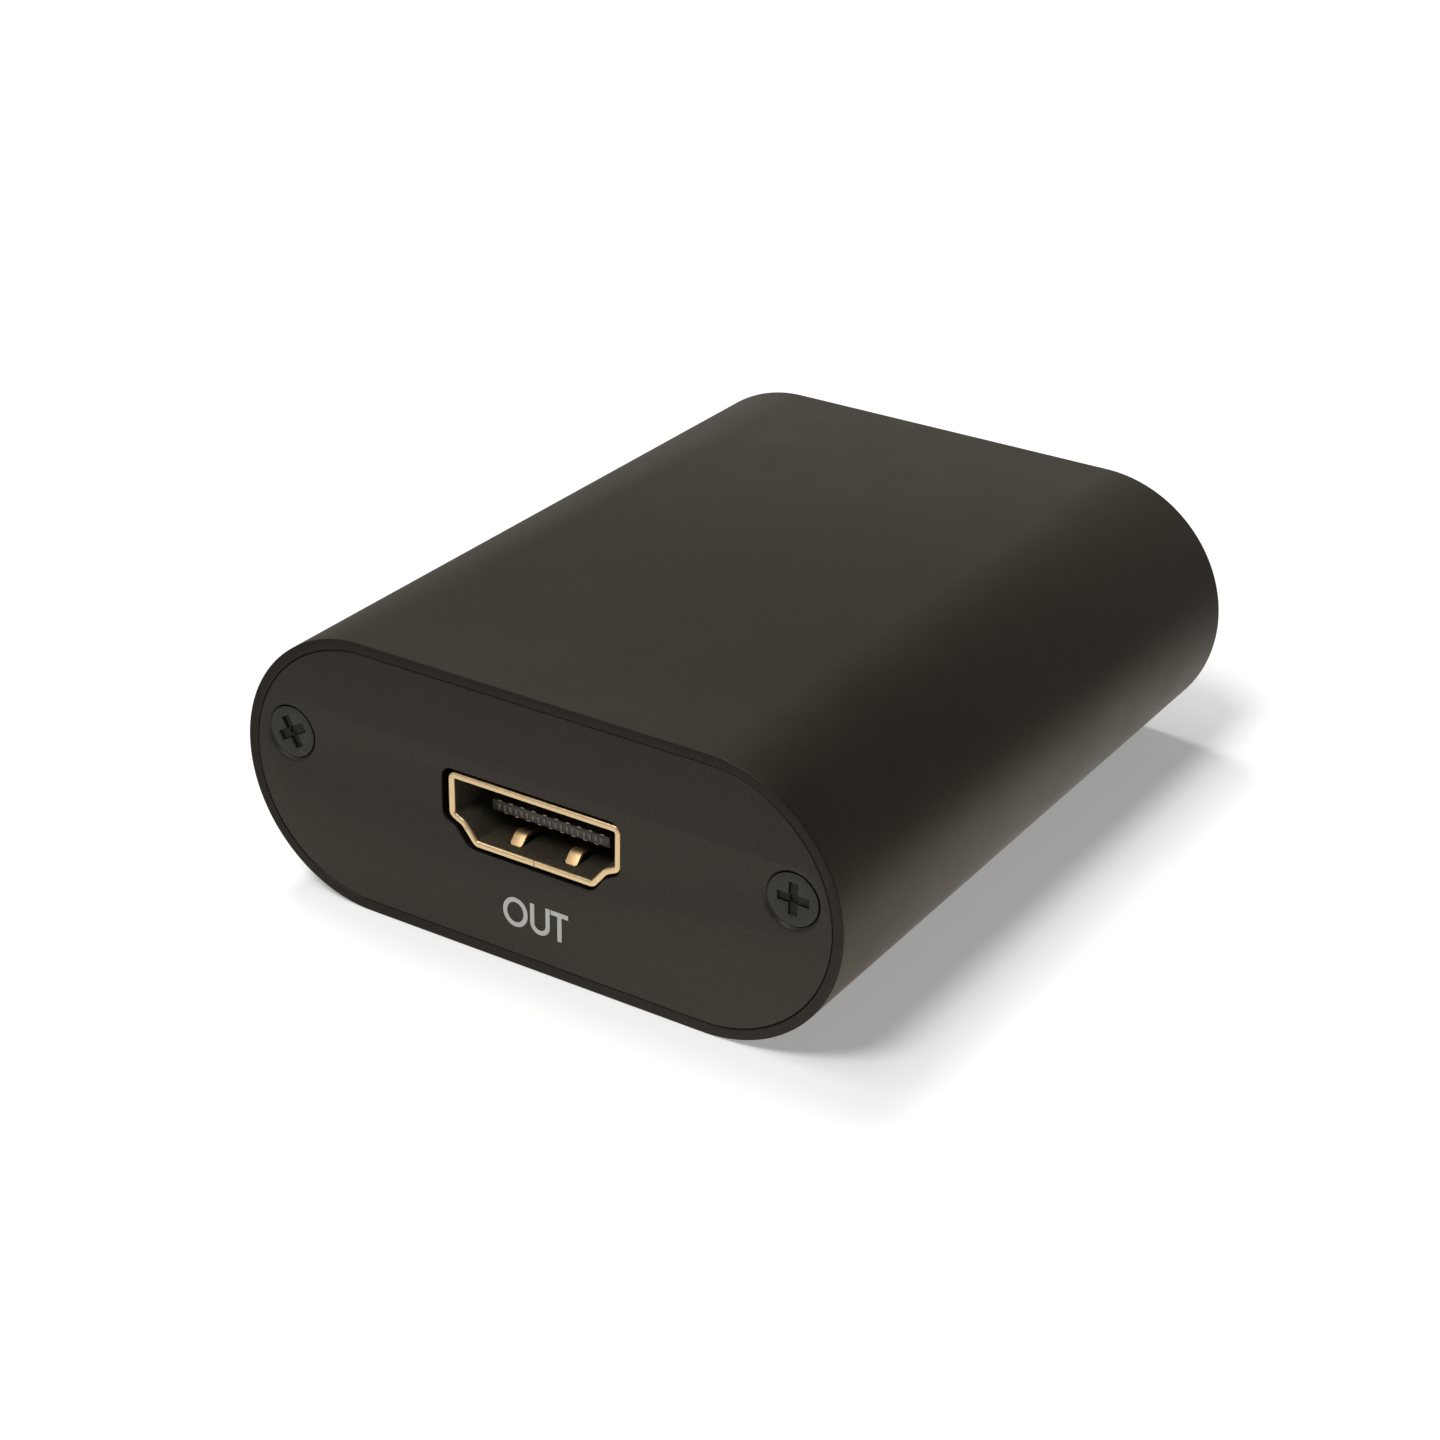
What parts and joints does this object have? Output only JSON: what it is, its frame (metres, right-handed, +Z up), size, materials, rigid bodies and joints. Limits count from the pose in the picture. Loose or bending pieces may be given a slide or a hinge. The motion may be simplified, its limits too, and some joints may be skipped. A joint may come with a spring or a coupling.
{
  "type": "video converter",
  "caption": "Small extruded aluminium box that converts digital video, with an output socket at one end and an input socket, power inlet and status light at the other.",
  "frame": {"origin": "middle of the case's underside, on the surface that it lies on", "axes": "+X across the case, +Y along it from the output end to the input end, +Z up"},
  "size_m": [0.052, 0.0616, 0.0223],
  "materials": {
    "case_metal": "black anodised after fine bead blasting, matt with a soft sheen",
    "plate_metal": "black anodised sheet, matt",
    "screw_steel": "black zinc plated steel, satin",
    "gold_plate": "gold flash over nickel, satin",
    "insulator_plastic": "black moulded liquid crystal polymer",
    "contact_metal": "thin gold flash on phosphor bronze",
    "board_laminate": "green solder mask over glass laminate",
    "chip_plastic": "black moulded epoxy",
    "tinned_metal": "tin plated copper alloy",
    "pad_rubber": "grey-blue filled silicone",
    "sink_metal": "black anodised extrusion",
    "can_metal": "drawn aluminium can",
    "ferrite": "dark grey ferrite",
    "ceramic": "tan ceramic with tinned ends",
    "jack_plastic": "black moulded polyester",
    "light_plastic": "green tinted clear epoxy"
  },
  "bodies": {
    "root": {"case_sleeve": "case_metal", "front_plate": "plate_metal", "rear_plate": "plate_metal", "front_screws": "screw_steel", "rear_screws": "screw_steel", "output_socket_shell": "gold_plate", "output_socket_insulator": "insulator_plastic", "output_socket_contacts": "contact_metal", "input_socket_shell": "gold_plate", "input_socket_insulator": "insulator_plastic", "input_socket_contacts": "contact_metal", "power_jack_housing": "jack_plastic", "power_jack_pin": "tinned_metal", "power_jack_strips": "tinned_metal", "status_light": "light_plastic", "status_light_leads": "tinned_metal", "circuit_board": "board_laminate", "converter_chip": "chip_plastic", "converter_chip_leads": "tinned_metal", "thermal_pad": "pad_rubber", "heat_sink": "sink_metal", "frame_memory": "chip_plastic", "program_memory": "chip_plastic", "program_memory_leads": "tinned_metal", "clock_crystal": "can_metal", "voltage_regulator": "chip_plastic", "voltage_regulator_leads": "tinned_metal", "power_inductor": "ferrite", "filter_capacitors": "can_metal", "filter_capacitor_bases": "jack_plastic", "protection_diode": "chip_plastic", "ceramic_capacitors": "ceramic", "resistors": "ceramic", "surge_arrays": "chip_plastic"}
  },
  "joints": []
}
